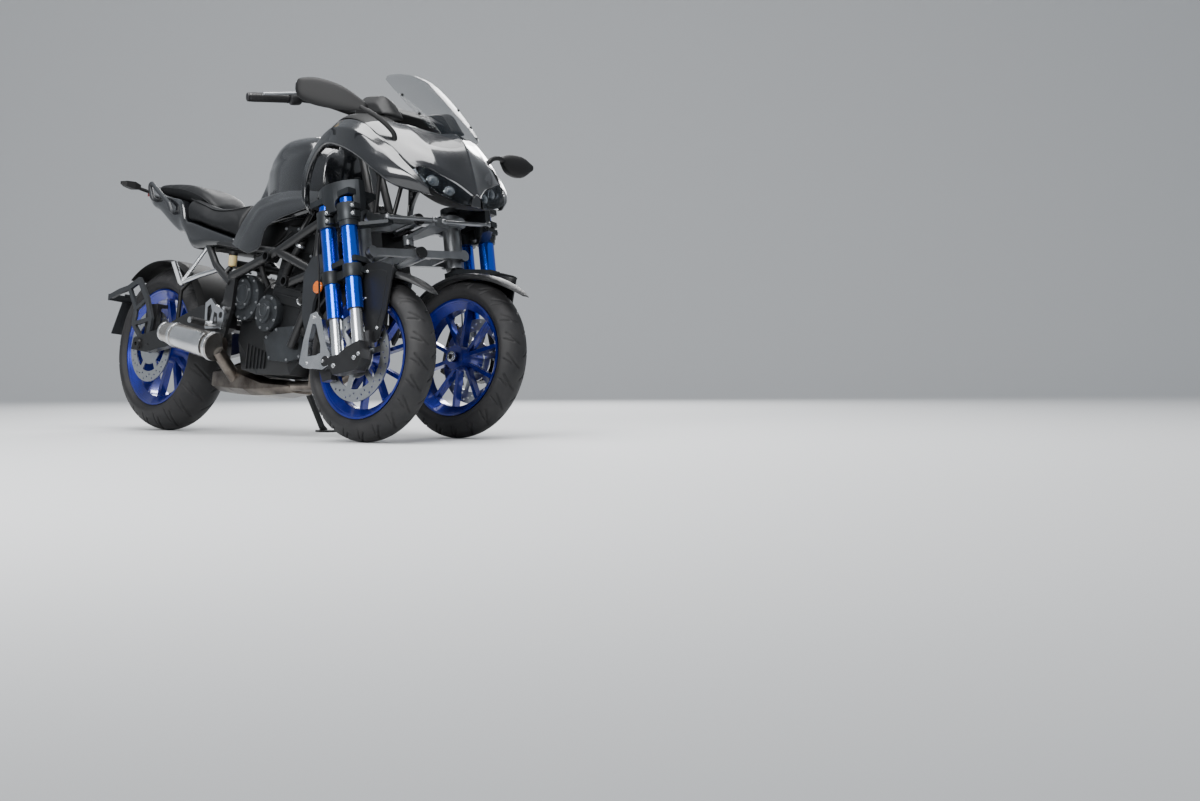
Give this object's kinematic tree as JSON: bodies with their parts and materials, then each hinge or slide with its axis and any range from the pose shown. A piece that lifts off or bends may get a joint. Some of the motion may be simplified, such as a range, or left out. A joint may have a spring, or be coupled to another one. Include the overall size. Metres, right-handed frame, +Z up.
{
  "type": "leaning three-wheeled motorcycle",
  "caption": "Reverse trike motorcycle: two leaning, steered front wheels on twin-tube forks, one driven rear wheel, half fairing, parked on its side stand.",
  "frame": {"origin": "centre of the vehicle's footprint box on the ground", "axes": "+X forward, +Y to the rider's left, +Z up; the vehicle leans 7 degrees to its left on its stand"},
  "size_m": [2.1512, 0.8806, 1.2534],
  "materials": {
    "frame_black": "satin",
    "engine_black": "satin",
    "cover_grey": "satin",
    "radiator_black": "satin",
    "grey_plastic": "matt",
    "header_steel": "heat tinted",
    "silencer_steel": "satin",
    "graphite_paint": "metallic gloss",
    "seat_cover": "grained",
    "graphite_plastic": "metallic gloss",
    "rail_grey": "satin",
    "black_plastic": "grained",
    "clear_screen": "clear",
    "lamp_lens": "clear over reflectors",
    "mirror_black": "gloss",
    "swingarm_black": "satin",
    "bolt_steel": "zinc",
    "spring_grey": "satin",
    "carrier_grey": "satin",
    "amber_lens": "clear",
    "red_lens": "clear",
    "footrest_silver": "polished",
    "arm_grey": "satin",
    "chain_steel": "oiled",
    "caliper_black": "satin",
    "bar_black": "satin",
    "stand_black": "satin",
    "tyre": "moulded",
    "rim_blue": "metallic",
    "disc_steel": "ground",
    "yoke_grey": "satin",
    "fork_blue": "metallic",
    "leg_silver": "satin",
    "carrier_black": "satin",
    "mudguard_black": "satin",
    "rod_steel": "zinc"
  },
  "bodies": {
    "chassis": {"frame": "frame_black", "engine": "engine_black", "engine_covers": "cover_grey", "radiator": "radiator_black", "radiator_shrouds": "grey_plastic", "exhaust_pipes": "header_steel", "silencer": "silencer_steel", "fuel_tank": "graphite_paint", "rider_seat": "seat_cover", "passenger_seat": "seat_cover", "tail_cover": "graphite_plastic", "grab_rails": "rail_grey", "side_covers": "black_plastic", "nose_fairing": "graphite_plastic", "side_fairings": "graphite_plastic", "windscreen": "clear_screen", "headlamps": "lamp_lens", "dashboard": "black_plastic", "mirrors": "mirror_black", "swingarm": "swingarm_black", "swingarm_pivot": "bolt_steel", "shock_absorber": "spring_grey", "rear_mudguard": "black_plastic", "plate_carrier": "carrier_grey", "rear_indicators": "amber_lens", "tail_lamp": "red_lens", "footrests": "footrest_silver", "upper_lean_arm": "arm_grey", "lower_lean_arm": "arm_grey", "knuckles": "arm_grey", "drive_chain": "chain_steel", "rear_caliper": "caliper_black"},
    "bars": {"handlebar": "bar_black"},
    "bellcrank": {"steering_bellcrank": "arm_grey"},
    "rear_wheel": {"rear_tyre": "tyre", "rear_rim": "rim_blue", "rear_disc": "disc_steel", "rear_sprocket": "disc_steel"},
    "stand": {"side_stand": "stand_black"},
    "fork_right": {"fork_yokes_right": "yoke_grey", "fork_tubes_right": "fork_blue", "fork_legs_right": "leg_silver", "axle_carrier_right": "carrier_black", "mudguard_right": "mudguard_black"},
    "wheel_right": {"front_tyre_right": "tyre", "front_rim_right": "rim_blue", "front_disc_right": "disc_steel"},
    "tie_right": {"tie_rod_right": "rod_steel"},
    "fork_left": {"fork_yokes_left": "yoke_grey", "fork_tubes_left": "fork_blue", "fork_legs_left": "leg_silver", "axle_carrier_left": "carrier_black", "mudguard_left": "mudguard_black"},
    "wheel_left": {"front_tyre_left": "tyre", "front_rim_left": "rim_blue", "front_disc_left": "disc_steel"},
    "tie_left": {"tie_rod_left": "rod_steel"}
  },
  "joints": [
    {"name": "steering", "type": "hinge", "parent": "chassis", "child": "bars", "pos_m": [0.38497, 0.01336, 1.10243], "axis": [-0.2588, 0.1177, 0.9587], "range_deg": [-37, 27]},
    {"name": "bellcrank_turn", "type": "hinge", "parent": "chassis", "child": "bellcrank", "pos_m": [0.68444, -0.03819, 0.68261], "axis": [-0.2588, 0.1177, 0.9587], "range_deg": [-37, 27]},
    {"name": "rear_wheel_spin", "type": "hinge", "parent": "chassis", "child": "rear_wheel", "pos_m": [-0.71503, -0.08292, 0.31832], "axis": [0, 0.9925, -0.1219], "continuous": true},
    {"name": "side_stand_fold", "type": "hinge", "parent": "chassis", "child": "stand", "pos_m": [-0.05303, 0.06025, 0.1879], "axis": [0, 0.9925, -0.1219], "range_deg": [0, 85]},
    {"name": "fork_right_turn", "type": "hinge", "parent": "chassis", "child": "fork_right", "pos_m": [0.8019, -0.29346, 0.27227], "axis": [-0.2588, 0.1177, 0.9587], "range_deg": [-37, 27]},
    {"name": "wheel_right_spin", "type": "hinge", "parent": "fork_right", "child": "wheel_right", "pos_m": [0.8019, -0.29346, 0.27227], "axis": [-0.0842, 0.986, -0.1438], "continuous": true},
    {"name": "tie_right_swivel", "type": "hinge", "parent": "fork_right", "child": "tie_right", "pos_m": [0.83214, -0.24473, 0.74174], "axis": [-0.2588, 0.1177, 0.9587], "range_deg": [-27, 37]},
    {"name": "fork_left_turn", "type": "hinge", "parent": "chassis", "child": "fork_left", "pos_m": [0.78852, 0.11632, 0.27227], "axis": [-0.2588, 0.1177, 0.9587], "range_deg": [-37, 27]},
    {"name": "wheel_left_spin", "type": "hinge", "parent": "fork_left", "child": "wheel_left", "pos_m": [0.78852, 0.11632, 0.27227], "axis": [-0.0842, 0.986, -0.1438], "continuous": true},
    {"name": "tie_left_swivel", "type": "hinge", "parent": "fork_left", "child": "tie_left", "pos_m": [0.81505, 0.20844, 0.73541], "axis": [-0.2588, 0.1177, 0.9587], "range_deg": [-27, 37]}
  ],
  "couplings": [
    {"joint": "bellcrank_turn", "follows": "steering", "ratio": 1},
    {"joint": "fork_right_turn", "follows": "steering", "ratio": 1},
    {"joint": "tie_right_swivel", "follows": "steering", "ratio": -1},
    {"joint": "fork_left_turn", "follows": "steering", "ratio": 1},
    {"joint": "tie_left_swivel", "follows": "steering", "ratio": -1}
  ]
}
